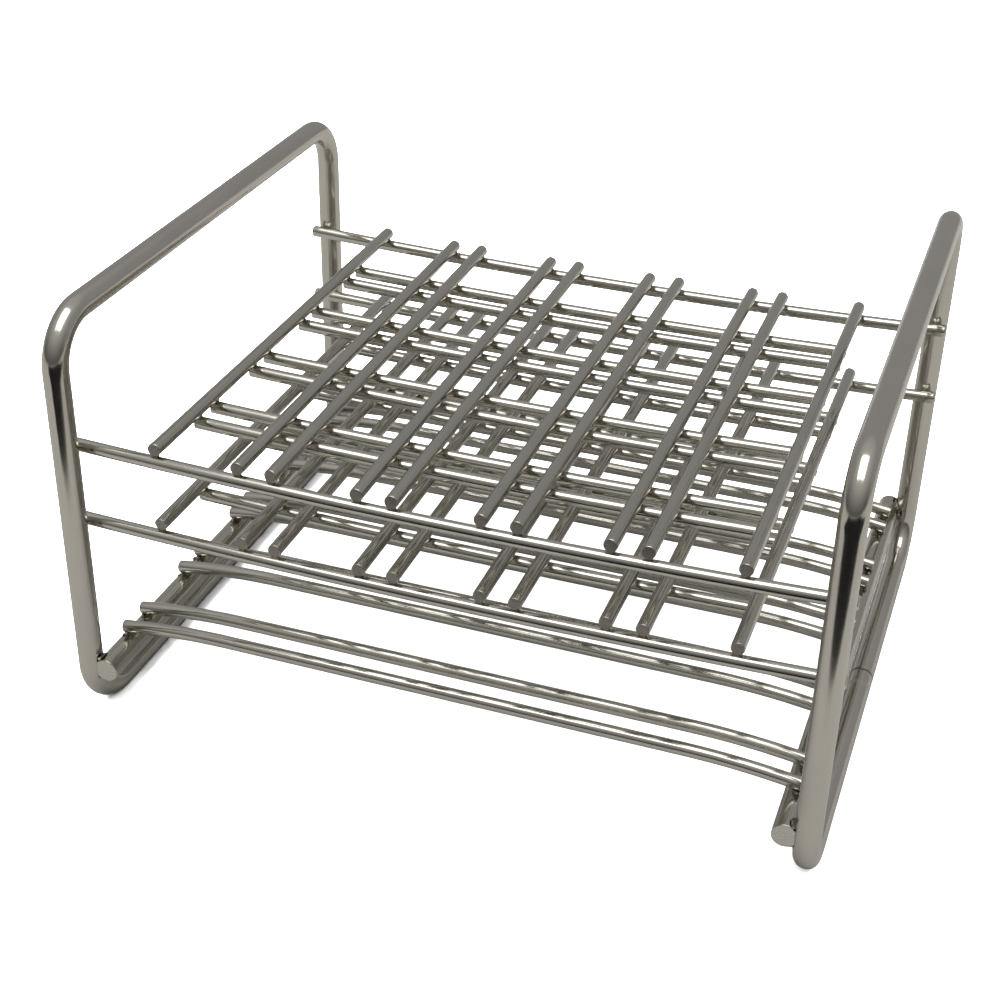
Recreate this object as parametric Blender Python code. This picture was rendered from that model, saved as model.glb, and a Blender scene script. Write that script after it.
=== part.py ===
"""Test tube rack of welded steel wire: five rows of five places, for tubes up to 16 mm across.

Two closed hoops of heavy rod are the ends, the feet and the handles. Two base rods and the four
long wires of the tiers join them. Each tier is a grid of wires whose square openings hold the
tubes upright, and the tubes stand on pairs of base wires. Every crossing is welded, so nothing
moves.

Metres, +Z up. X runs from hoop to hoop, Y from front to back. The origin is on the surface that
the rack stands on, under the middle of the rack.
"""

import math

import bpy

# Stock and clearance
WIRE_RADIUS = 0.00165
ROD_RADIUS = 0.0031
GAP = 0.0003
WIRE_SIDES = 12
ROD_SIDES = 16

# Tube places
ROWS = 5
PITCH = 0.0294
OPENING = 0.021

# End hoops
HOOP_X = 0.090
HOOP_TOP = 0.1075
HOOP_BOTTOM = ROD_RADIUS
HOOP_CORNER = 0.012
CORNER_STEPS = 8

# Tiers
TIERS = {"upper": (0.0750, 0.0020), "lower": (0.0548, 0.0017)}
SHORT_WIRE_END = 0.0700
CROSS_WIRE_END = 0.0700
TIER_WIRE_STEPS = 8

# Base
BASE_ROD_Z = 0.0150
BASE_ROD_INSET = 0.00494
BASE_ROD_END = 0.0760
BASE_WIRE_SPREAD = 0.0044
BASE_WIRE_END = 0.0863
BASE_WIRE_DROOP = 0.0021
BASE_WIRE_BEND = 0.058
BASE_WIRE_END_STEPS = 5

# Places worked out from the dimensions above
ROW_CENTRES = [PITCH * (row - (ROWS - 1) / 2) for row in range(ROWS)]
GRID_LINES = [centre + side * OPENING / 2 for centre in ROW_CENTRES for side in (-1, 1)]
LONG_WIRE_Y = GRID_LINES[-1]
LONG_WIRE_END = HOOP_X + ROD_RADIUS
POST_Y = LONG_WIRE_Y + WIRE_RADIUS + ROD_RADIUS + GAP
CROSS_WIRE_LIFT = 2 * WIRE_RADIUS + GAP
BASE_ROD_X = HOOP_X - BASE_ROD_INSET
BASE_WIRE_Z = BASE_ROD_Z + ROD_RADIUS + WIRE_RADIUS + GAP + BASE_WIRE_DROOP


def clear_scene():
    for found in list(bpy.data.objects):
        bpy.data.objects.remove(found)


def make_collection(name):
    collection = bpy.data.collections.new(name)
    bpy.context.scene.collection.children.link(collection)
    return collection


def make_steel(name, colour, roughness):
    material = bpy.data.materials.new(name)
    material.use_nodes = True
    shader = material.node_tree.nodes["Principled BSDF"]
    shader.inputs["Base Color"].default_value = (*colour, 1.0)
    shader.inputs["Metallic"].default_value = 1.0
    shader.inputs["Roughness"].default_value = roughness
    return material


def make_bar(name, points, radius, sides, material, collection, closed=False):
    """A round bar along the points. Its flats touch the true circle, and one faces straight down."""
    curve = bpy.data.curves.new(name, "CURVE")
    curve.dimensions = "3D"
    curve.bevel_depth = radius / math.cos(math.pi / sides)
    curve.bevel_resolution = sides // 2 - 2
    curve.use_fill_caps = True
    spline = curve.splines.new("POLY")
    spline.points.add(len(points) - 1)
    for target, point in zip(spline.points, points):
        target.co = (*point, 1.0)
        target.tilt = math.pi / sides
    spline.use_cyclic_u = closed
    spline.use_smooth = True
    curve.materials.append(material)
    bar = bpy.data.objects.new(name, curve)
    collection.objects.link(bar)
    return bar


def evenly(start, end, steps):
    return [start + (end - start) * step / steps for step in range(steps + 1)]


def hoop_outline():
    """Centre line of a hoop, as (y, z) points round a rectangle with round corners."""
    side = POST_Y - HOOP_CORNER
    low = HOOP_BOTTOM + HOOP_CORNER
    high = HOOP_TOP - HOOP_CORNER
    corners = [(side, low, -90), (side, high, 0), (-side, high, 90), (-side, low, 180)]
    outline = []
    for centre_y, centre_z, start in corners:
        for angle in evenly(start, start + 90, CORNER_STEPS):
            turn = math.radians(angle)
            y = centre_y + HOOP_CORNER * math.cos(turn)
            z = centre_z + HOOP_CORNER * math.sin(turn)
            outline.append((y, z))
    return outline


def tier_height(tier, x):
    """Height of a tier's lengthwise wires: level at the posts, and lowest in mid-span."""
    height, dip = TIERS[tier]
    return height - dip * (1 - (x / LONG_WIRE_END) ** 2)


def base_wire_height(x):
    """Height of a base wire: level between its bends, and drawn down onto the rods at its ends."""
    past_bend = max(0.0, abs(x) - BASE_WIRE_BEND) / (BASE_ROD_X - BASE_WIRE_BEND)
    return BASE_WIRE_Z - BASE_WIRE_DROOP * past_bend**2


def make_hoops(collection):
    steel = make_steel("hoop_steel", (0.42, 0.40, 0.37), 0.22)
    for side, x in (("left", -HOOP_X), ("right", HOOP_X)):
        points = [(x, y, z) for y, z in hoop_outline()]
        make_bar(f"hoop_{side}", points, ROD_RADIUS, ROD_SIDES, steel, collection, closed=True)


def make_prism(name, centre, radius, start, end, axis, collection):
    """A closed prism along Y or Z whose flats touch the circle of this radius."""
    corner = radius / math.cos(math.pi / ROD_SIDES)
    points = []
    for place in (start, end):
        for number in range(ROD_SIDES):
            turn = math.tau * (number + 0.5) / ROD_SIDES
            first = corner * math.cos(turn)
            second = corner * math.sin(turn)
            if axis == "Y":
                points.append((centre[0] + first, place, centre[2] + second))
            else:
                points.append((centre[0] + first, centre[1] + second, place))
    near = list(range(ROD_SIDES))
    far = [number + ROD_SIDES for number in near]
    faces = [near[::-1], far]
    for number in near:
        after = (number + 1) % ROD_SIDES
        faces.append((near[number], near[after], far[after], far[number]))
    if axis == "Y":
        faces = [face[::-1] for face in faces]
    mesh = bpy.data.meshes.new(name)
    mesh.from_pydata(points, [], faces)
    prism = bpy.data.objects.new(name, mesh)
    collection.objects.link(prism)
    return prism


def cut_seat(rod, name, x, y, collection):
    """Copes a base rod where it is set into a post, so that the post stands in a close seat."""
    cutter = make_prism(name, (x, y, 0), ROD_RADIUS + GAP, 0.004, 0.026, "Z", collection)
    cutter.hide_render = True
    seat = rod.modifiers.new(name, "BOOLEAN")
    seat.operation = "DIFFERENCE"
    seat.solver = "EXACT"
    seat.object = cutter


def make_base_rods(collection):
    """Each base rod is set a quarter of its thickness into the two posts of its hoop."""
    steel = make_steel("base_rod_steel", (0.40, 0.38, 0.35), 0.24)
    for side, way in (("left", -1), ("right", 1)):
        name = f"base_rod_{side}"
        centre = (way * BASE_ROD_X, 0, BASE_ROD_Z)
        rod = make_prism(name, centre, ROD_RADIUS, -BASE_ROD_END, BASE_ROD_END, "Y", collection)
        rod.data.materials.append(steel)
        for place, y in (("front", -POST_Y), ("back", POST_Y)):
            cut_seat(rod, f"{side}_{place}_seat", way * HOOP_X, y, collection)


def make_lengthwise_wires(tier, collection, steel):
    """Long wires outermost, welded to the posts, and short ones in pairs between the rows."""
    names = ["long_wire_front"]
    names += [f"short_wire_{number}" for number in range(1, len(GRID_LINES) - 1)]
    names += ["long_wire_back"]
    for name, y in zip(names, GRID_LINES):
        end = LONG_WIRE_END if name.startswith("long") else SHORT_WIRE_END
        points = [(x, y, tier_height(tier, x)) for x in evenly(-end, end, TIER_WIRE_STEPS)]
        make_bar(f"{tier}_tier_{name}", points, WIRE_RADIUS, WIRE_SIDES, steel, collection)


def make_cross_wires(tier, collection, steel):
    """Wires from front to back, on top of the tier's lengthwise wires."""
    for number, x in enumerate(GRID_LINES, start=1):
        z = tier_height(tier, x) + CROSS_WIRE_LIFT
        points = [(x, -CROSS_WIRE_END, z), (x, CROSS_WIRE_END, z)]
        name = f"{tier}_tier_cross_wire_{number}"
        make_bar(name, points, WIRE_RADIUS, WIRE_SIDES, steel, collection)


def make_base_wires(collection):
    """Two wires under each row, on top of the base rods, for the tubes to stand on."""
    steel = make_steel("base_wire_steel", (0.46, 0.44, 0.40), 0.20)
    outer = evenly(BASE_WIRE_BEND, BASE_WIRE_END, BASE_WIRE_END_STEPS)
    stations = [-x for x in reversed(outer)] + outer
    lines = [centre + side * BASE_WIRE_SPREAD for centre in ROW_CENTRES for side in (-1, 1)]
    for number, y in enumerate(lines, start=1):
        points = [(x, y, base_wire_height(x)) for x in stations]
        make_bar(f"base_wire_{number}", points, WIRE_RADIUS, WIRE_SIDES, steel, collection)


def main():
    clear_scene()
    rack = make_collection("test_tube_rack")
    make_hoops(rack)
    make_base_rods(rack)
    lengthwise_steel = make_steel("lengthwise_wire_steel", (0.48, 0.46, 0.42), 0.20)
    cross_steel = make_steel("cross_wire_steel", (0.44, 0.42, 0.38), 0.22)
    for tier in TIERS:
        make_lengthwise_wires(tier, rack, lengthwise_steel)
        make_cross_wires(tier, rack, cross_steel)
    make_base_wires(rack)


main()
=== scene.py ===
"""Looks of the welded steel wire test tube rack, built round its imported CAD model.

Metres, +Z up, in the frame of the CAD model. Every wire and rod is rebuilt as a finely swept bar
with worked ends, and every crossing gets its weld. Places and sizes come from the CAD nodes.
"""

import math
import random

import bmesh
import bpy
import numpy as np
from mathutils import Matrix, Vector, noise


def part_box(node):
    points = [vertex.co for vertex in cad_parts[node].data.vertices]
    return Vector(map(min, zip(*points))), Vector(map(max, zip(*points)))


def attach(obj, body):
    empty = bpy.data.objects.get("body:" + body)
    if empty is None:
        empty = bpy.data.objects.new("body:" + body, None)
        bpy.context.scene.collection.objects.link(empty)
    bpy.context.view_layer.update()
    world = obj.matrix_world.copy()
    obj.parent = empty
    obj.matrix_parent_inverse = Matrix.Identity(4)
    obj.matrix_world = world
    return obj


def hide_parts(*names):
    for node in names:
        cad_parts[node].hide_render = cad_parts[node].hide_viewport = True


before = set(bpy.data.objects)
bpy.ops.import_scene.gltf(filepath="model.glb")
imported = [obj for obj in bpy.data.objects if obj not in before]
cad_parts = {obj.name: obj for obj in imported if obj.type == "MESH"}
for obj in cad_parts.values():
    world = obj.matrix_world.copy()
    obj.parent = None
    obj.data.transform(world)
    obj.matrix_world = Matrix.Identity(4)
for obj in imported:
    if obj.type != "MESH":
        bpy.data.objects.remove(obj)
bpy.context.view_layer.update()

# Numbers and names of the nodes: ten cross wires and eight short wires in a tier, ten base wires
NUMBERS = range(1, 11)
SHORT_NUMBERS = range(1, 9)
SIDES = ("left", "right")

# Camera, at the angle from which the rack is seen
CAMERA_TARGET = Vector((-0.00889, 0.0, 0.03848))
CAMERA_DISTANCE = 0.4632
CAMERA_AZIMUTH = math.radians(18.81)
CAMERA_ELEVATION = math.radians(31.02)
CAMERA_ROLL = math.radians(1.31)
CAMERA_LENS = 63.2
CAMERA_CLIP = 0.01
SENSOR_WIDTH = 36.0

# Fineness of the swept bars
WIRE_SIDES = 28
ROD_SIDES = 48
WIRE_STEP = 0.002
ROD_STEP = 0.0015

# Shape of the bars that a node's box doesn't tell
HOOP_CORNER = 0.012
BASE_WIRE_BEND = 0.058

# Butt weld of a hoop, in its bottom rail: a shallow groove with a dark line in it. The groove, the
# rings near it and the space that the other rings leave for them are in seam widths
SEAM_Y = 0.005
SEAM_DEPTH = 0.00012
SEAM_WIDTH = 0.0007
SEAM_GROOVE = 0.6
SEAM_CLEAR = 1.2
SEAM_RINGS = (-1, -0.6, -0.3, 0, 0.3, 0.6, 1)
SEAM_LINE = 0.00030

# Cut ends of the bars: rounded at the edge, faintly domed, and slanted by up to the slant
END_ROUND = 0.00024
LONG_END_ROUND = 0.0006
END_STEPS = 5
DOME = 0.00003
DOME_RINGS = (0.4, 0.75)
CUT_RINGS = len(DOME_RINGS) + 2
WIRE_SLANT = 0.08
CROSS_WIRE_SLANT = 0.14
BASE_ROD_SLANT = 0.05
LEAST_STEPS = 4
MOST_GRAIN_OFFSET = 5

ALONG_X = (1, 0, 0)
ALONG_Y = (0, 1, 0)
ALONG_Z = (0, 0, 1)


# Bars


class Bar:
    """A round bar swept along a path, as rings of points that carry their place in the steel."""

    def __init__(self, name, side, radius, sides, seed):
        self.name = name
        self.side = Vector(side)
        self.radius = radius
        self.sides = sides
        self.random = random.Random(seed)
        self.offset = self.random.uniform(0, MOST_GRAIN_OFFSET)
        self.mesh = bmesh.new()
        self.grain = self.mesh.verts.layers.float_vector.new("grain")
        self.rings = []
        self.tips = []

    def ring(self, point, tangent, radius, along, tilt=0.0, tilt_turn=0.0):
        """Adds one ring of points round the path. A tilt slants it, as shears slant a cut end."""
        up = tangent.cross(self.side)
        ring = []
        for step in range(self.sides):
            turn = math.tau * step / self.sides
            outward = self.side * math.cos(turn) + up * math.sin(turn)
            slant = tangent * (tilt * radius * math.cos(turn - tilt_turn))
            vert = self.mesh.verts.new(point + outward * radius + slant)
            across = math.cos(turn) * radius, math.sin(turn) * radius
            vert[self.grain] = (*across, along + self.offset)
            ring.append(vert)
        self.rings.append(ring)

    def skin(self, closed):
        """Joins each ring to the next with faces, and the last to the first in a closed bar."""
        pairs = list(zip(self.rings, self.rings[1:]))
        if closed:
            pairs.append((self.rings[-1], self.rings[0]))
        for first, second in pairs:
            for step in range(self.sides):
                after = (step + 1) % self.sides
                corners = (first[step], first[after], second[after], second[step])
                self.mesh.faces.new(corners)

    def close_end(self, ring, centre, along):
        """Closes an end with a fan of faces from its last ring to its middle."""
        middle = self.mesh.verts.new(centre)
        middle[self.grain] = (0, 0, along + self.offset)
        self.tips.append(middle)
        for step in range(self.sides):
            self.mesh.faces.new((ring[step], ring[(step + 1) % self.sides], middle))


def end_rings(radius, rounding):
    """How far in from a cut end each ring is, and its radius, from the middle outwards."""
    flat = radius - rounding
    rings = [(-DOME * (1 - share**2), flat * share) for share in DOME_RINGS]
    for step in range(END_STEPS + 1):
        turn = math.pi / 2 * step / END_STEPS
        rings.append((rounding * (1 - math.cos(turn)), flat + rounding * math.sin(turn)))
    return rings


def open_bar(
    name, path, start, end, side, radius, sides, step, seed, slant=WIRE_SLANT, rounding=END_ROUND
):
    """A bar with two cut ends. The path gives a point and a tangent for each place along it."""
    bar = Bar(name, side, radius, sides, seed)
    profile = end_rings(radius, rounding)
    tilts = [bar.random.uniform(-slant, slant) for _ in range(2)]
    turns = [bar.random.uniform(0, math.tau) for _ in range(2)]
    for depth, ring_radius in profile:
        point, tangent = path(start)
        point += tangent * depth
        bar.ring(point, tangent, ring_radius, start + depth, tilts[0], turns[0])
    first = start + rounding
    last = end - rounding
    steps = max(LEAST_STEPS, round((last - first) / step))
    for number in range(1, steps):
        place = first + (last - first) * number / steps
        point, tangent = path(place)
        near = [max(0.0, 1 - abs(place - cut) / (2 * step)) for cut in (first, last)]
        which = 0 if near[0] > near[1] else 1
        bar.ring(point, tangent, radius, place, tilts[which] * near[which], turns[which])
    for depth, ring_radius in reversed(profile):
        point, tangent = path(end)
        point -= tangent * depth
        bar.ring(point, tangent, ring_radius, end - depth, tilts[1], turns[1])
    bar.skin(closed=False)
    for ring, place, way in ((bar.rings[0], start, -1), (bar.rings[-1], end, 1)):
        point, tangent = path(place)
        bar.close_end(ring, point + tangent * (DOME * way), place)
    return bar


def finish_bar(bar, material, cut_material=None):
    """Turns the swept rings into an object. Its first and last few rings hold the cut steel."""
    bmesh.ops.recalc_face_normals(bar.mesh, faces=bar.mesh.faces)
    ends = set(bar.tips)
    if cut_material is not None:
        for ring in bar.rings[:CUT_RINGS] + bar.rings[-CUT_RINGS:]:
            ends.update(ring)
    for face in bar.mesh.faces:
        face.smooth = True
        if sum(vert in ends for vert in face.verts) >= 3:
            face.material_index = 1
    mesh = bpy.data.meshes.new(bar.name)
    bar.mesh.to_mesh(mesh)
    bar.mesh.free()
    mesh.materials.append(material)
    if cut_material is not None:
        mesh.materials.append(cut_material)
    piece = bpy.data.objects.new(bar.name, mesh)
    bpy.context.scene.collection.objects.link(piece)
    return piece


# Materials

# Scales of the steel's unevenness, per metre across, across and along a bar
LINE_GRAIN = (3600, 3600, 55)
CLOUD_GRAIN = (260, 260, 60)
WAVE_GRAIN = (110, 110, 45)
PIT_GRAIN = (2600, 2600, 2200)
CUT_GRAIN = (1500, 5200, 300)
RIPPLE_GRAIN = (1400, 1400, 1400)
STAIN_GRAIN = (500, 500, 500)

# Range that most of a noise lies in, and where the noise of the pits opens and fills them
NOISE_RANGE = (0.3, 0.7)
PIT_RANGE = (0.24, 0.20)

# Heights of what is too fine for the meshes
LINE_HEIGHT = 0.000012
WAVE_HEIGHT = 0.00005
RIPPLE_HEIGHT = 0.00012
SHEAR_HEIGHT = 0.00005
GRINDING_HEIGHT = 0.000003

# Colours. The heat tint goes from clean steel, through straw and brown, to the foot of a weld, and
# its darkening there also stands as painted shade where the bars meet
CLOUDING = [(0.3, (0.93, 0.93, 0.93)), (0.7, (1.0, 0.995, 0.985))]
HEAT_TINT_AND_PAINTED_SHADE = [
    (0.0, (1.0, 1.0, 1.0)),
    (0.30, (1.0, 0.97, 0.90)),
    (0.62, (0.80, 0.70, 0.56)),
    (1.0, (0.34, 0.30, 0.25)),
]
PIT_COLOUR = (0.08, 0.075, 0.07, 1.0)
SEAM_COLOUR = (0.05, 0.045, 0.04, 1.0)
WELD_COLOURS = [
    (0.32, (0.12, 0.092, 0.066)),
    (0.52, (0.24, 0.210, 0.168)),
    (0.74, (0.42, 0.39, 0.33)),
]
SHEARED_COLOURS = [(0.3, (0.25, 0.236, 0.208)), (0.7, (0.40, 0.381, 0.340))]
GROUND_COLOURS = [(0.3, (0.57, 0.545, 0.487)), (0.7, (0.60, 0.575, 0.515))]

HEAT_ROUGHNESS = 0.22
MOST_PIT_SHARE = 0.6


def new_material(name):
    material = bpy.data.materials.new(name)
    material.use_nodes = True
    tree = material.node_tree
    return material, tree, tree.nodes["Principled BSDF"]


def add_node(tree, kind, **settings):
    node = tree.nodes.new(kind)
    for key, value in settings.items():
        setattr(node, key, value)
    return node


def set_inputs(node, **values):
    """Sets inputs by name, with _ for each space in a name."""
    for key, value in values.items():
        node.inputs[key.replace("_", " ")].default_value = value


def read_attribute(tree, name, output):
    return add_node(tree, "ShaderNodeAttribute", attribute_name=name).outputs[output]


def grain_noise(tree, scale, **settings):
    """Noise over the surface of a bar, from the place in the bar that each point carries."""
    mapping = add_node(tree, "ShaderNodeMapping")
    mapping.inputs["Scale"].default_value = scale
    noise_node = add_node(tree, "ShaderNodeTexNoise")
    set_inputs(noise_node, Scale=1.0, **settings)
    tree.links.new(read_attribute(tree, "grain", "Vector"), mapping.inputs["Vector"])
    tree.links.new(mapping.outputs["Vector"], noise_node.inputs["Vector"])
    return noise_node.outputs["Fac"]


def ramp(tree, source, stops):
    """Colours by the source, from stops of a position and a colour."""
    node = add_node(tree, "ShaderNodeValToRGB")
    elements = node.color_ramp.elements
    while len(elements) < len(stops):
        elements.new(0.5)
    for element, (position, colour) in zip(elements, stops):
        element.position = position
        element.color = (*colour, 1.0)
    tree.links.new(source, node.inputs["Fac"])
    return node.outputs["Color"]


def map_range(tree, source, low, high, to_low, to_high):
    node = add_node(tree, "ShaderNodeMapRange")
    set_inputs(node, From_Min=low, From_Max=high, To_Min=to_low, To_Max=to_high)
    tree.links.new(source, node.inputs["Value"])
    return node.outputs["Result"]


def math_node(tree, operation, first, second):
    node = add_node(tree, "ShaderNodeMath", operation=operation)
    for socket, value in zip(node.inputs, (first, second)):
        if isinstance(value, float):
            socket.default_value = value
        else:
            tree.links.new(value, socket)
    return node.outputs["Value"]


# Places of a colour mix node's sockets
MIX_FACTOR = 0
MIX_FIRST = 6
MIX_SECOND = 7
MIX_RESULT = 2


def mix_colour(tree, blend, factor, first, second):
    node = add_node(tree, "ShaderNodeMix", data_type="RGBA", blend_type=blend)
    for place, value in ((MIX_FACTOR, factor), (MIX_FIRST, first), (MIX_SECOND, second)):
        socket = node.inputs[place]
        if isinstance(value, (float, tuple)):
            socket.default_value = value
        else:
            tree.links.new(value, socket)
    return node.outputs[MIX_RESULT]


def add_bump(tree, height, strength, distance):
    bump = add_node(tree, "ShaderNodeBump")
    set_inputs(bump, Strength=strength, Distance=distance)
    tree.links.new(height, bump.inputs["Height"])
    return bump


def polished_steel(name, colour, roughness, seamed=False):
    """Bright drawn steel: lines along it, faint clouding, pits, and heat tint beside the welds,
    darkened there as painted shade where the bars meet.
    """
    material, tree, shader = new_material(name)
    heat = read_attribute(tree, "heat", "Fac")
    lines = grain_noise(tree, LINE_GRAIN, Detail=4.0, Roughness=0.6)
    clouds = grain_noise(tree, CLOUD_GRAIN, Detail=3.0)
    waves = grain_noise(tree, WAVE_GRAIN, Detail=1.0)
    pits = grain_noise(tree, PIT_GRAIN, Detail=1.0)

    clouding = ramp(tree, clouds, CLOUDING)
    base = mix_colour(tree, "MULTIPLY", 1.0, (*colour, 1.0), clouding)
    # Heat tint, darkest at the welds: partly real tint and partly painted shade where the bars meet
    base = mix_colour(tree, "MULTIPLY", 1.0, base, ramp(tree, heat, HEAT_TINT_AND_PAINTED_SHADE))
    pit_share = map_range(tree, pits, *PIT_RANGE, 0.0, MOST_PIT_SHARE)
    base = mix_colour(tree, "MIX", pit_share, base, PIT_COLOUR)
    if seamed:
        seam = read_attribute(tree, "seam", "Fac")
        base = mix_colour(tree, "MIX", seam, base, SEAM_COLOUR)
    tree.links.new(base, shader.inputs["Base Color"])

    rough = map_range(tree, lines, *NOISE_RANGE, roughness - 0.03, roughness + 0.05)
    rough = math_node(tree, "ADD", rough, math_node(tree, "MULTIPLY", heat, HEAT_ROUGHNESS))
    tree.links.new(rough, shader.inputs["Roughness"])
    set_inputs(shader, Metallic=1.0)

    wave_bump = add_bump(tree, waves, 1.0, WAVE_HEIGHT)
    line_bump = add_bump(tree, lines, 0.4, LINE_HEIGHT)
    tree.links.new(wave_bump.outputs["Normal"], line_bump.inputs["Normal"])
    tree.links.new(line_bump.outputs["Normal"], shader.inputs["Normal"])
    return material


def rough_steel(name, marks_grain, marks_roughness, stains_grain, colours, rough_range, height):
    """Steel with marks all over it. Its colours follow the stains, or the marks if it has none."""
    material, tree, shader = new_material(name)
    marks = grain_noise(tree, marks_grain, Detail=3.0, Roughness=marks_roughness)
    stains = grain_noise(tree, stains_grain, Detail=2.0) if stains_grain else marks
    tree.links.new(ramp(tree, stains, colours), shader.inputs["Base Color"])
    rough = map_range(tree, marks, *NOISE_RANGE, *rough_range)
    tree.links.new(rough, shader.inputs["Roughness"])
    set_inputs(shader, Metallic=1.0)
    bump = add_bump(tree, marks, 0.6, height)
    tree.links.new(bump.outputs["Normal"], shader.inputs["Normal"])
    return material


def cut_steel(name, colours, roughness, height):
    """A cut end, with the marks of the shear or the grinder across it."""
    rough_range = (roughness * 0.88, roughness * 1.12)
    return rough_steel(name, CUT_GRAIN, 0.65, None, colours, rough_range, height)


def weld_steel(name):
    """Weld metal: rippled and uneven, and stained from brown to bright in patches."""
    rough_range = (0.28, 0.50)
    return rough_steel(
        name, RIPPLE_GRAIN, 0.6, STAIN_GRAIN, WELD_COLOURS, rough_range, RIPPLE_HEIGHT
    )


LONG_WIRE_COLOUR = (0.575, 0.556, 0.500)
STEEL = {
    "hoop_steel": polished_steel("polished_hoop_rod", (0.585, 0.556, 0.500), 0.14, seamed=True),
    "base_rod_steel": polished_steel("polished_base_rod", (0.545, 0.522, 0.460), 0.13),
    "lengthwise_wire_steel": polished_steel("polished_lengthwise_wire", LONG_WIRE_COLOUR, 0.12),
    "cross_wire_steel": polished_steel("polished_cross_wire", (0.540, 0.520, 0.466), 0.15),
    "base_wire_steel": polished_steel("polished_base_wire", LONG_WIRE_COLOUR, 0.12),
}
CUT_STEEL = cut_steel("sheared_steel", SHEARED_COLOURS, 0.48, SHEAR_HEIGHT)
GROUND_STEEL = cut_steel("ground_steel", GROUND_COLOURS, 0.25, GRINDING_HEIGHT)
WELD_STEEL = weld_steel("weld_metal")


# Rods and wires

PIECES = []


def keep(piece, node):
    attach(piece, "root")
    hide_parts(node)
    PIECES.append(piece)


def centre_of(node):
    low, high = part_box(node)
    return (low + high) / 2


def bar_radius(node, axis):
    """Radius of a bar, from the width of its node across one axis."""
    low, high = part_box(node)
    return (high[axis] - low[axis]) / 2


X, Y, Z = range(3)
WIRE_RADIUS = bar_radius("upper_tier_cross_wire_1", X)
ROD_RADIUS = bar_radius("base_rod_left", X)


def sagging_path(node):
    """Path of a lengthwise tier wire: highest at its ends, with an even dip between them."""
    low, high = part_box(node)
    y = (low.y + high.y) / 2
    middle = low.z + WIRE_RADIUS
    rise = high.z - WIRE_RADIUS - middle

    def path(x):
        point = Vector((x, y, middle + rise * (x / high.x) ** 2))
        return point, Vector((1, 0, 2 * rise * x / high.x**2)).normalized()

    return path


def drooping_path(node):
    """Path of a base wire: level between its bends, and drawn down onto the base rods."""
    low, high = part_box(node)
    y = (low.y + high.y) / 2
    level = high.z - WIRE_RADIUS
    droop = level - (low.z + WIRE_RADIUS)
    reach = high.x - BASE_WIRE_BEND

    def path(x):
        past = max(0.0, abs(x) - BASE_WIRE_BEND) / reach
        slope = -2 * droop * past / reach * math.copysign(1, x)
        return Vector((x, y, level - droop * past**2)), Vector((1, 0, slope)).normalized()

    return path


def crosswise_path(node):
    centre = centre_of(node)

    def path(y):
        return Vector((centre.x, y, centre.z)), Vector((0, 1, 0))

    return path


def hoop_path(node):
    """Path round a hoop and its length, from the middle of the bottom rail and back to it."""
    low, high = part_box(node)
    x = (low.x + high.x) / 2
    half_width = high.y - ROD_RADIUS - HOOP_CORNER
    bottom = low.z + ROD_RADIUS
    top = high.z - ROD_RADIUS
    height = top - bottom - 2 * HOOP_CORNER
    corner = HOOP_CORNER * math.pi / 2
    upright = (corner, height, corner)
    stretches = (half_width, *upright, 2 * half_width, *upright, half_width)
    # Degrees of heading along each straight stretch, and None round each corner
    headings = (0, None, 90, None, 180, None, 270, None, 360)

    def path(place):
        point = Vector((x, 0, bottom))
        heading = 0.0
        left = place
        for length, straight in zip(stretches, headings):
            step = min(left, length)
            left -= step
            if straight is None:
                centre = point + Vector((0, -math.sin(heading), math.cos(heading))) * HOOP_CORNER
                heading += math.pi / 2 * step / corner
                point = centre + Vector((0, math.sin(heading), -math.cos(heading))) * HOOP_CORNER
            else:
                heading = math.radians(straight)
                point = point + Vector((0, math.cos(heading), math.sin(heading))) * step
            if left <= 0:
                break
        return point, Vector((0, math.cos(heading), math.sin(heading)))

    return path, sum(stretches)


# Radius, sides and step along the path of a swept bar
WIRE_FORM = (WIRE_RADIUS, WIRE_SIDES, WIRE_STEP)
ROD_FORM = (ROD_RADIUS, ROD_SIDES, ROD_STEP)

# Seeds of the second set of bars in a tier and in the base come this far after those of the first
SECOND_SEEDS = 20


def make_wire(node, path, axis, side, slot, seed, slant=WIRE_SLANT, rounding=END_ROUND):
    low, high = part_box(node)
    bar = open_bar(
        f"{node}_steel", path, low[axis], high[axis], side, *WIRE_FORM, seed, slant, rounding
    )
    piece = finish_bar(bar, STEEL[slot], CUT_STEEL)
    keep(piece, node)


def make_tier(tier, seed):
    """A tier's lengthwise wires, from front to back, and its cross wires, from left to right."""
    names = [f"short_wire_{number}" for number in SHORT_NUMBERS]
    names = ["long_wire_front", *names, "long_wire_back"]
    slot = "lengthwise_wire_steel"
    for bar_seed, name in enumerate(names, start=seed):
        node = f"{tier}_tier_{name}"
        rounding = LONG_END_ROUND if name.startswith("long") else END_ROUND
        make_wire(node, sagging_path(node), X, ALONG_Y, slot, bar_seed, rounding=rounding)
    slot = "cross_wire_steel"
    for number in NUMBERS:
        node = f"{tier}_tier_cross_wire_{number}"
        bar_seed = seed + SECOND_SEEDS + number
        make_wire(node, crosswise_path(node), Y, ALONG_X, slot, bar_seed, slant=CROSS_WIRE_SLANT)


def make_base(seed):
    """The base wires, from front to back, and the two base rods under them."""
    for number in NUMBERS:
        node = f"base_wire_{number}"
        make_wire(node, drooping_path(node), X, ALONG_Y, "base_wire_steel", seed + number)
    for bar_seed, side in enumerate(SIDES, start=seed + SECOND_SEEDS):
        node = f"base_rod_{side}"
        low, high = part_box(node)
        path = crosswise_path(node)
        name = f"{node}_steel"
        bar = open_bar(name, path, low.y, high.y, ALONG_X, *ROD_FORM, bar_seed, BASE_ROD_SLANT)
        keep(finish_bar(bar, STEEL["base_rod_steel"], GROUND_STEEL), node)


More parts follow.
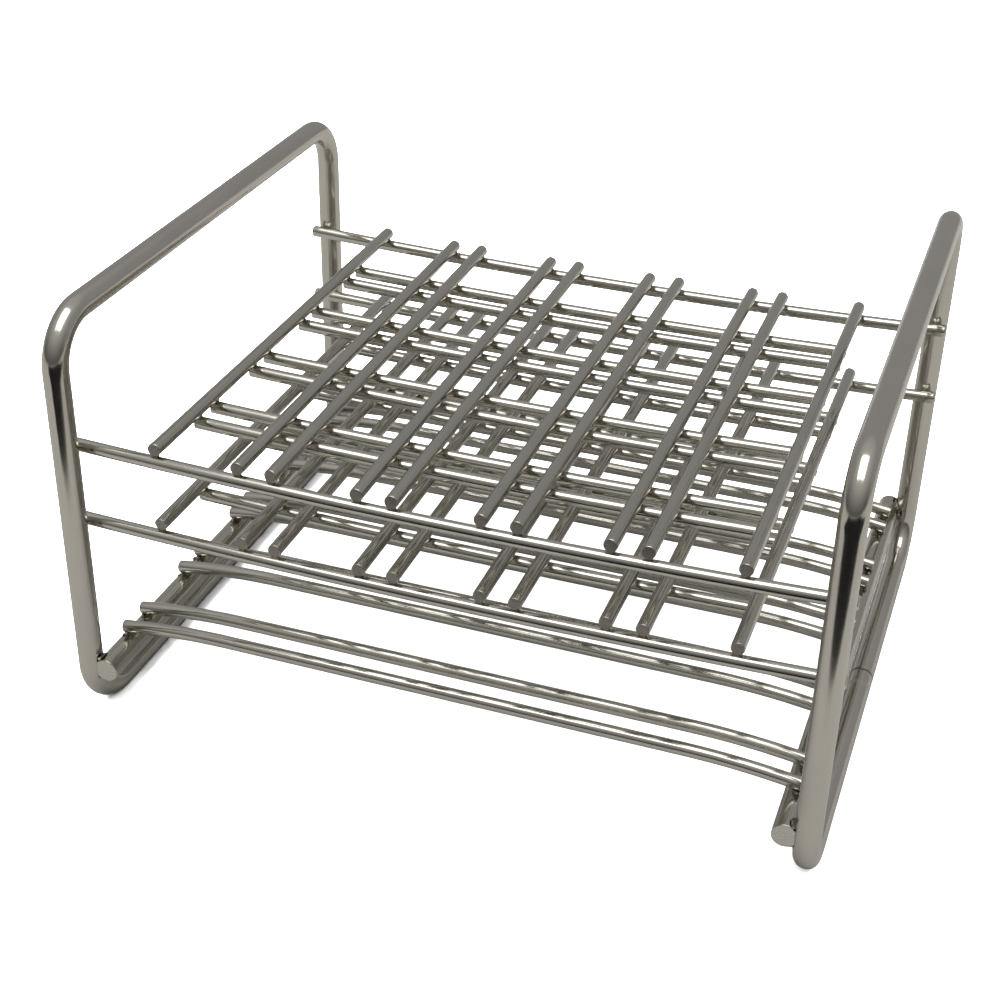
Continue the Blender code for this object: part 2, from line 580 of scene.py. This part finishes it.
def make_hoop(side, seed):
    """A hoop is one rod. Its ends meet in a butt weld, ground to a fine ring in the bottom rail."""
    node = f"hoop_{side}"
    path, length = hoop_path(node)
    bar = Bar(f"{node}_steel", ALONG_X, ROD_RADIUS, ROD_SIDES, seed)
    steps = round(length / ROD_STEP)
    even = [length * number / steps for number in range(steps)]
    clear = [place for place in even if abs(place - SEAM_Y) > SEAM_WIDTH * SEAM_CLEAR]
    near_seam = [SEAM_Y + SEAM_WIDTH * share for share in SEAM_RINGS]
    for place in sorted(clear + near_seam):
        point, tangent = path(place)
        away = abs(place - SEAM_Y) / SEAM_WIDTH
        groove = SEAM_DEPTH * max(0.0, 1 - (away / SEAM_GROOVE) ** 2)
        bar.ring(point, tangent, ROD_RADIUS - groove, place)
    bar.skin(closed=True)
    keep(finish_bar(bar, STEEL["hoop_steel"]), node)


# Welds


class Weld:
    """Where two bars touch: the one above lies along one axis, and the one below along another."""

    def __init__(
        self, above, above_axis, above_radius, below, below_axis, below_radius, size, limits
    ):
        self.above_axis = Vector(above_axis)
        self.below_axis = Vector(below_axis)
        self.above_radius = above_radius
        self.below_radius = below_radius
        self.size = size
        self.limits = limits
        reach = above - below
        self.normal = reach.normalized()
        self.gap = reach.length - above_radius - below_radius
        self.centre = below + self.normal * (below_radius + self.gap / 2)


def sagitta(radius, offset):
    """How far a circle falls away from its tangent at an offset along it."""
    return radius - math.sqrt(max(0.0, radius**2 - offset**2))


def within(point, limits):
    """The point, drawn back inside the box of low and high limits."""
    return Vector(min(max(part, low), high) for part, low, high in zip(point, *limits))


# Limits are low and high corners that the points of a weld stay between
LIMIT_INSET = 0.00006
NO_LIMITS = ((-1, -1, -1), (1, 1, 1))


def end_limits(above, above_axis, below, below_axis):
    """Limits that keep a weld from growing out past the cut ends of the two bars it joins."""
    low, high = (list(corner) for corner in NO_LIMITS)
    for node, axis in ((above, above_axis), (below, below_axis)):
        first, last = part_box(node)
        low[axis] = first[axis] + LIMIT_INSET
        high[axis] = last[axis] - LIMIT_INSET
    return low, high


# Fillets: the points round them and up them, how deep their edges are in the bars, how far they may
# reach in bar radii, and how the search for the reach and the hollow of their faces go
FILLET_TURNS = 30
FILLET_STEPS = 7
FILLET_SINK = 0.00012
MOST_REACH = 1.25
HALVINGS = 24
HOLLOW = 0.30

# Unevenness of the weld metal: how much each noise swells it, and how fine the noise is
FILLET_SWELLS = ((0.34, 1.3), (0.22, 3.7))
HOLLOW_SWELL, HOLLOW_FINENESS = 0.5, 2.9
LUMP_SWELL, LUMP_FINENESS = 0.22, 1.4
SKIN_SWELL, SKIN_FINENESS = 0.10, 4.0
SEED_STRIDE = 0.731
HOLLOW_SHIFT = Vector((7, 0, 0))


def weld_opening(weld, turn, reach):
    """Heights of the two bars' surfaces at a reach from the middle of their contact."""
    high = weld.gap / 2 + sagitta(weld.above_radius, reach * math.cos(turn))
    low = -weld.gap / 2 - sagitta(weld.below_radius, reach * math.sin(turn))
    return low, high


def fillet_reach(weld, turn, size):
    """How far from the middle of the contact the wedge between the bars opens to a size."""
    nearest = 0.0
    furthest = min(weld.above_radius, weld.below_radius) * MOST_REACH
    for _ in range(HALVINGS):
        middle = (nearest + furthest) / 2
        low, high = weld_opening(weld, turn, middle)
        if high - low < size:
            nearest = middle
        else:
            furthest = middle
    return nearest


def add_fillet(mesh, grain, weld, seed):
    """A ring of weld metal that fills the wedge between two crossing bars, out to its size."""
    rings = []
    for turn_number in range(FILLET_TURNS):
        turn = math.tau * turn_number / FILLET_TURNS
        where = Vector((math.cos(turn), math.sin(turn), seed * SEED_STRIDE))
        swells = (swell * noise.noise(where * fineness) for swell, fineness in FILLET_SWELLS)
        size = weld.size * sum(swells, start=1)
        reach = fillet_reach(weld, turn, size)
        low, high = weld_opening(weld, turn, reach)
        low -= FILLET_SINK
        high += FILLET_SINK
        swell = 1 + HOLLOW_SWELL * noise.noise(where * HOLLOW_FINENESS + HOLLOW_SHIFT)
        hollow = HOLLOW * size * swell
        ring = []
        for step in range(FILLET_STEPS):
            share = step / (FILLET_STEPS - 1)
            out = reach + FILLET_SINK - hollow * math.sin(math.pi * share)
            flat = weld.below_axis * math.cos(turn) + weld.above_axis * math.sin(turn)
            up = weld.normal * (low + (high - low) * share)
            vert = mesh.verts.new(within(weld.centre + flat * out + up, weld.limits))
            vert[grain] = vert.co
            ring.append(vert)
        rings.append(ring)
    for turn_number, ring in enumerate(rings):
        after = rings[(turn_number + 1) % FILLET_TURNS]
        for step in range(FILLET_STEPS - 1):
            mesh.faces.new((ring[step], after[step], after[step + 1], ring[step + 1]))
    for end in (0, -1):
        mesh.faces.new([ring[end] for ring in rings])


LUMP_SUBDIVISIONS = 3
LUMP_SEEDS = 50


def add_lump(mesh, grain, centre, radii, seed, limits):
    """A frozen bead of weld metal: a squashed ball with an uneven skin, kept inside its limits."""
    made = bmesh.ops.create_icosphere(mesh, subdivisions=LUMP_SUBDIVISIONS, radius=1.0)
    for vert in made["verts"]:
        where = vert.co.copy()
        swell = 1 + LUMP_SWELL * noise.noise(where * LUMP_FINENESS + Vector((seed, 0, 0)))
        swell += SKIN_SWELL * noise.noise(where * SKIN_FINENESS + Vector((0, seed, 0)))
        swollen = Vector(part * size * swell for part, size in zip(where, radii))
        vert.co = within(centre + swollen, limits)
        vert[grain] = vert.co


def weld_object(name, welds, seed, lumps, material=WELD_STEEL):
    """One piece of welds and lumps. A lump is its centre, its three radii and its limits."""
    mesh = bmesh.new()
    grain = mesh.verts.layers.float_vector.new("grain")
    for number, weld in enumerate(welds):
        add_fillet(mesh, grain, weld, seed + number)
    for number, (centre, radii, limits) in enumerate(lumps):
        add_lump(mesh, grain, centre, radii, seed + LUMP_SEEDS + number, limits)
    bmesh.ops.recalc_face_normals(mesh, faces=mesh.faces)
    for face in mesh.faces:
        face.smooth = True
    data = bpy.data.meshes.new(name)
    mesh.to_mesh(data)
    mesh.free()
    data.materials.append(material)
    piece = bpy.data.objects.new(name, data)
    bpy.context.scene.collection.objects.link(piece)
    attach(piece, "root")


# How wide the wedge between two bars is where their weld ends
TIER_WELD = 0.00056
POST_WELD = 0.00045
BASE_WIRE_WELD = 0.00066
BASE_ROD_WELD = 0.0009


def tier_welds(tier):
    """Every crossing of a tier's cross wires with its lengthwise wires."""
    lengthwise = [f"{tier}_tier_long_wire_{side}" for side in ("front", "back")]
    lengthwise += [f"{tier}_tier_short_wire_{number}" for number in SHORT_NUMBERS]
    welds = []
    for cross in NUMBERS:
        cross_node = f"{tier}_tier_cross_wire_{cross}"
        centre = centre_of(cross_node)
        for node in lengthwise:
            below, _ = sagging_path(node)(centre.x)
            above = Vector((centre.x, below.y, centre.z))
            limits = end_limits(cross_node, Y, node, X)
            welds.append(
                Weld(above, ALONG_Y, WIRE_RADIUS, below, ALONG_X, WIRE_RADIUS, TIER_WELD, limits)
            )
    return welds


def post_welds(tier):
    """The long wires' welds to the inner faces of the posts."""
    welds = []
    for place, way in (("front", 1), ("back", -1)):
        node = f"{tier}_tier_long_wire_{place}"
        for side in SIDES:
            low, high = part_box(f"hoop_{side}")
            x = (low.x + high.x) / 2
            wire, _ = sagging_path(node)(x)
            post_y = low.y + ROD_RADIUS if way > 0 else high.y - ROD_RADIUS
            post = Vector((x, post_y, wire.z))
            welds.append(
                Weld(wire, ALONG_X, WIRE_RADIUS, post, ALONG_Z, ROD_RADIUS, POST_WELD, NO_LIMITS)
            )
    return welds


# Spatter: ranges of a bead's radius, of its place forward of the wire (in wire radii) and across
# the rod, and of its length and width (in its radius)
SPATTER_BEADS = 3
SPATTER_SIZES = (0.00024, 0.00046)
SPATTER_FORWARD = (0.55, 1.15)
SPATTER_ACROSS = (-0.0016, 0.0012)
SPATTER_LENGTHS = (1.0, 1.7)
SPATTER_WIDTHS = (0.8, 1.2)


def spatter(wire, rod, chance):
    """Beads that the weld threw out in front of a base wire, on the top of its base rod."""
    beads = []
    for _ in range(SPATTER_BEADS):
        size = chance.uniform(*SPATTER_SIZES)
        y = wire.y - WIRE_RADIUS * chance.uniform(*SPATTER_FORWARD)
        x = rod.x + chance.uniform(*SPATTER_ACROSS)
        z = rod.z + math.sqrt(ROD_RADIUS**2 - (x - rod.x) ** 2) + size / 2
        stretch = chance.uniform(*SPATTER_LENGTHS)
        radii = (size * chance.uniform(*SPATTER_WIDTHS), size * stretch, size)
        beads.append((Vector((x, y, z)), radii, NO_LIMITS))
    return beads


def base_wire_welds():
    """The base wires' welds to the base rods, and the spatter of each."""
    welds, lumps = [], []
    for number in NUMBERS:
        path = drooping_path(f"base_wire_{number}")
        for side in SIDES:
            rod = centre_of(f"base_rod_{side}")
            wire, _ = path(rod.x)
            below = Vector((rod.x, wire.y, rod.z))
            welds.append(
                Weld(
                    wire, ALONG_X, WIRE_RADIUS, below, ALONG_Y, ROD_RADIUS, BASE_WIRE_WELD, NO_LIMITS
                )
            )
            lumps += spatter(wire, rod, random.Random(f"{side}{number}"))
    return welds, lumps


# Beads in the notch above each weld of a base rod to a post: places along the rod and height, in
# rod radii, and how the beads vary in size and place from one to the next
NOTCH_BEADS = (0.15, 0.50, 0.78)
NOTCH_HEIGHT = 0.80
BEAD_SIZE = 0.00046
BEAD_SWELL = 0.00012
BEAD_SWELL_TURN = 3.1
BEAD_SHIFT = 0.0002
BEAD_LIFT_TURN = 2
BEAD_FORM = (0.9, 1.5, 0.8)

# Weld ground flush with a base rod's end: how far below the rod's middle, and its three radii
FLUSH_DROP = 0.0004
FLUSH_WIDTH = 0.0026
FLUSH_DEPTH = 0.0030
FLUSH_HEIGHTS = {"left": 0.0018, "right": 0.0011}


def notch_beads(notch, outward, way, limits):
    """A row of beads from a notch towards the end of its rod."""
    beads = []
    for step, share in enumerate(NOTCH_BEADS):
        size = BEAD_SIZE + BEAD_SWELL * math.sin(BEAD_SWELL_TURN * step + way)
        across = BEAD_SHIFT * way * step
        lift = BEAD_SHIFT * math.cos(BEAD_LIFT_TURN * step)
        shift = Vector((across, outward * share * ROD_RADIUS, lift))
        beads.append((notch + shift, tuple(size * part for part in BEAD_FORM), limits))
    return beads


def base_rod_welds():
    """The base rods' welds to the posts, the beads above them, and weld ground flush outside."""
    welds, lumps, flush = [], [], []
    for side, way in (("left", 1), ("right", -1)):
        rod = centre_of(f"base_rod_{side}")
        low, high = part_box(f"hoop_{side}")
        post_x = (low.x + high.x) / 2
        for post_y in (low.y + ROD_RADIUS, high.y - ROD_RADIUS):
            above = Vector((rod.x, post_y, rod.z))
            below = Vector((post_x, post_y, rod.z))
            limits = end_limits(f"base_rod_{side}", Y, f"hoop_{side}", Z)
            welds.append(
                Weld(above, ALONG_Y, ROD_RADIUS, below, ALONG_Z, ROD_RADIUS, BASE_ROD_WELD, limits)
            )
            outward = math.copysign(1, post_y)
            between = (rod.x + post_x) / 2
            notch = Vector((between, post_y, rod.z + ROD_RADIUS * NOTCH_HEIGHT))
            lumps += notch_beads(notch, outward, way, limits)
            middle = Vector((between, post_y, rod.z - FLUSH_DROP))
            flush.append((middle, (FLUSH_WIDTH, FLUSH_DEPTH, FLUSH_HEIGHTS[side]), limits))
    return welds, lumps, flush


# Building the rack

UPPER_TIER_SEED = 100
LOWER_TIER_SEED = 200
BASE_SEED = 300
WELD_SEEDS = 1000
FLUSH_WELD_SEED = 9000

for hoop_seed, side in enumerate(SIDES, start=1):
    make_hoop(side, hoop_seed)
make_tier("upper", UPPER_TIER_SEED)
make_tier("lower", LOWER_TIER_SEED)
make_base(BASE_SEED)

rod_welds, rod_lumps, flush_welds = base_rod_welds()
wire_welds, wire_lumps = base_wire_welds()
WELDS = {
    "upper_tier_welds": (tier_welds("upper"), "cross_wire_steel", ()),
    "lower_tier_welds": (tier_welds("lower"), "cross_wire_steel", ()),
    "post_welds": (post_welds("upper") + post_welds("lower"), "lengthwise_wire_steel", ()),
    "base_wire_welds": (wire_welds, "base_wire_steel", wire_lumps),
    "base_rod_welds": (rod_welds, "base_rod_steel", rod_lumps),
}
for number, (name, (welds, slot, lumps)) in enumerate(WELDS.items(), start=1):
    weld_object(name, welds, WELD_SEEDS * number, lumps)
weld_object("flush_welds", (), FLUSH_WELD_SEED, flush_welds, GROUND_STEEL)


# Heat tint and painted shade: how far they reach from a tier weld, how that grows with a weld's
# size, and the margin round a bar's box within which a weld may tint and shade it
HEAT_AND_SHADE_REACH = 0.0022
HEAT_AND_SHADE_GROWTH = 0.4
HEAT_AND_SHADE_MARGIN = 0.01


def add_values(mesh, name, values):
    attribute = mesh.attributes.new(name, "FLOAT", "POINT")
    attribute.data.foreach_set("value", values.astype(np.float32))


def add_heat_tint_and_painted_shade(pieces, welds):
    """Gives each point of the bars a heat tint and painted shade, by how near it is to a weld, and
    marks the seams.
    """
    centres = np.array([weld.centre for weld in welds])
    sizes = np.array([weld.size for weld in welds])
    reaches = HEAT_AND_SHADE_REACH * (sizes / TIER_WELD) ** HEAT_AND_SHADE_GROWTH
    for piece in pieces:
        mesh = piece.data
        points = np.empty(len(mesh.vertices) * 3, np.float32)
        mesh.vertices.foreach_get("co", points)
        points = points.reshape(-1, 3)
        low = points.min(0) - HEAT_AND_SHADE_MARGIN
        high = points.max(0) + HEAT_AND_SHADE_MARGIN
        close = ((centres > low) & (centres < high)).all(1)
        heat = np.zeros(len(points), np.float32)
        # Each weld tints the points near it, and darkens them as painted shade where the bars meet
        for centre, reach in zip(centres[close], reaches[close]):
            away = np.linalg.norm(points - centre, axis=1)
            heat = np.maximum(heat, np.exp(-((away / reach) ** 2)))
        add_values(mesh, "heat", heat)
        if piece.name.startswith("hoop"):
            seam = np.exp(-(((points[:, 1] - SEAM_Y) / SEAM_LINE) ** 2))
            in_bottom_rail = points[:, 2] < 3 * ROD_RADIUS
            add_values(mesh, "seam", np.where(in_bottom_rail, seam, 0))


add_heat_tint_and_painted_shade(PIECES, [weld for welds, _, _ in WELDS.values() for weld in welds])


# Studio

FLOOR_SIZE = 14.0
CARD_LIFT = 0.0003

# Corners of the dark card, which lies in front of the rack
DARK_CARD = ((-0.118, -0.207), (0.45, -0.080), (1.6, -1.6), (-0.95, -1.6))


def matte(name, scale, dark, light):
    """A matte surface with the faint unevenness of painted board."""
    material, tree, shader = new_material(name)
    place = add_node(tree, "ShaderNodeTexCoord").outputs["Object"]
    speckle = add_node(tree, "ShaderNodeTexNoise")
    set_inputs(speckle, Scale=scale, Detail=4.0)
    tree.links.new(place, speckle.inputs["Vector"])
    colour = ramp(tree, speckle.outputs["Fac"], [(0.3, dark), (0.7, light)])
    tree.links.new(colour, shader.inputs["Base Color"])
    set_inputs(shader, Roughness=1.0, Specular_IOR_Level=0.0)
    return material


def flat_shape(name, corners, height, material):
    """A flat sheet of the studio, lying level at a height."""
    mesh = bpy.data.meshes.new(name)
    mesh.from_pydata([(x, y, height) for x, y in corners], [], [range(len(corners))])
    mesh.materials.append(material)
    sheet = bpy.data.objects.new(name, mesh)
    bpy.context.scene.collection.objects.link(sheet)
    return sheet


def make_table():
    """A pale floor, and a grey and a dark card on it that show only in the steel's reflections."""
    half = FLOOR_SIZE / 2
    square = ((-half, -half), (half, -half), (half, half), (-half, half))
    pale = matte("pale_floor", 3.0, (0.84, 0.84, 0.84), (0.86, 0.86, 0.86))
    floor = flat_shape("studio_floor", square, 0.0, pale)
    floor.visible_glossy = False
    grey = matte("grey_card", 8.0, (0.091, 0.090, 0.087), (0.098, 0.097, 0.094))
    dark = matte("dark_card", 8.0, (0.002, 0.002, 0.002), (0.004, 0.004, 0.004))
    cards = [
        flat_shape("grey_card", square, CARD_LIFT, grey),
        flat_shape("dark_card", DARK_CARD, 2 * CARD_LIFT, dark),
    ]
    for card in cards:
        card.visible_camera = False
        card.visible_diffuse = False
        card.visible_shadow = False


# Greys of the studio by height, from 0 at the horizon to 1 overhead
BACK_OF_STUDIO = [
    (0.0, (0.330, 0.330, 0.335)),
    (0.55, (0.350, 0.349, 0.354)),
    (0.85, (0.50, 0.50, 0.50)),
]
FRONT_OF_STUDIO = [
    (0.05, (0.12, 0.118, 0.115)),
    (0.40, (0.30, 0.30, 0.295)),
    (0.64, (0.46, 0.46, 0.45)),
    (0.85, (0.56, 0.56, 0.55)),
]


def make_world():
    """A grey studio: even behind the rack, and falling to dark along the horizon in front of it."""
    world = bpy.data.worlds.new("studio")
    bpy.context.scene.world = world
    world.use_nodes = True
    tree = world.node_tree
    background = tree.nodes["Background"]
    way = add_node(tree, "ShaderNodeTexCoord").outputs["Generated"]
    split = add_node(tree, "ShaderNodeSeparateXYZ")
    tree.links.new(way, split.inputs["Vector"])
    back = ramp(tree, split.outputs["Z"], BACK_OF_STUDIO)
    front = ramp(tree, split.outputs["Z"], FRONT_OF_STUDIO)
    facing = map_range(tree, split.outputs["Y"], -0.25, 0.15, 0.0, 1.0)
    tree.links.new(mix_colour(tree, "MIX", facing, front, back), background.inputs["Color"])
    set_inputs(background, Strength=1.0)


def add_softbox(name, direction, distance, size, power, in_reflections=True):
    """A softbox that faces the rack from a direction."""
    light = bpy.data.lights.new(name, "AREA")
    light.shape = "RECTANGLE"
    light.size, light.size_y = size
    light.energy = power
    lamp = bpy.data.objects.new(name, light)
    way = Vector(direction).normalized()
    lamp.location = way * distance
    lamp.rotation_euler = way.to_track_quat("Z", "Y").to_euler()
    lamp.visible_glossy = in_reflections
    bpy.context.scene.collection.objects.link(lamp)


def make_camera():
    """The camera looks at its target, turned by its roll about the line of sight."""
    flat = math.cos(CAMERA_ELEVATION)
    east = math.sin(CAMERA_AZIMUTH)
    north = math.cos(CAMERA_AZIMUTH)
    back = Vector((east * flat, -north * flat, math.sin(CAMERA_ELEVATION)))
    level = Vector((north, east, 0))
    upright = back.cross(level)
    right = level * math.cos(CAMERA_ROLL) + upright * math.sin(CAMERA_ROLL)
    up = upright * math.cos(CAMERA_ROLL) - level * math.sin(CAMERA_ROLL)
    data = bpy.data.cameras.new("camera")
    data.lens = CAMERA_LENS
    data.sensor_width = SENSOR_WIDTH
    data.clip_start = CAMERA_CLIP
    camera = bpy.data.objects.new("camera", data)
    turned = Matrix((right, up, back)).transposed().to_4x4()
    camera.matrix_world = Matrix.Translation(CAMERA_TARGET + back * CAMERA_DISTANCE) @ turned
    bpy.context.scene.collection.objects.link(camera)
    bpy.context.scene.camera = camera


make_table()
make_world()
add_softbox(
    "overhead_softbox",
    direction=(0.0, -0.22, 0.97),
    distance=1.6,
    size=(1.3, 1.1),
    power=12.5,
)
add_softbox(
    "fill_softbox",
    direction=(0.0, 0.0, 1.0),
    distance=3.0,
    size=(6.0, 6.0),
    power=1150,
    in_reflections=False,
)
make_camera()
bpy.context.scene.view_settings.view_transform = "Standard"
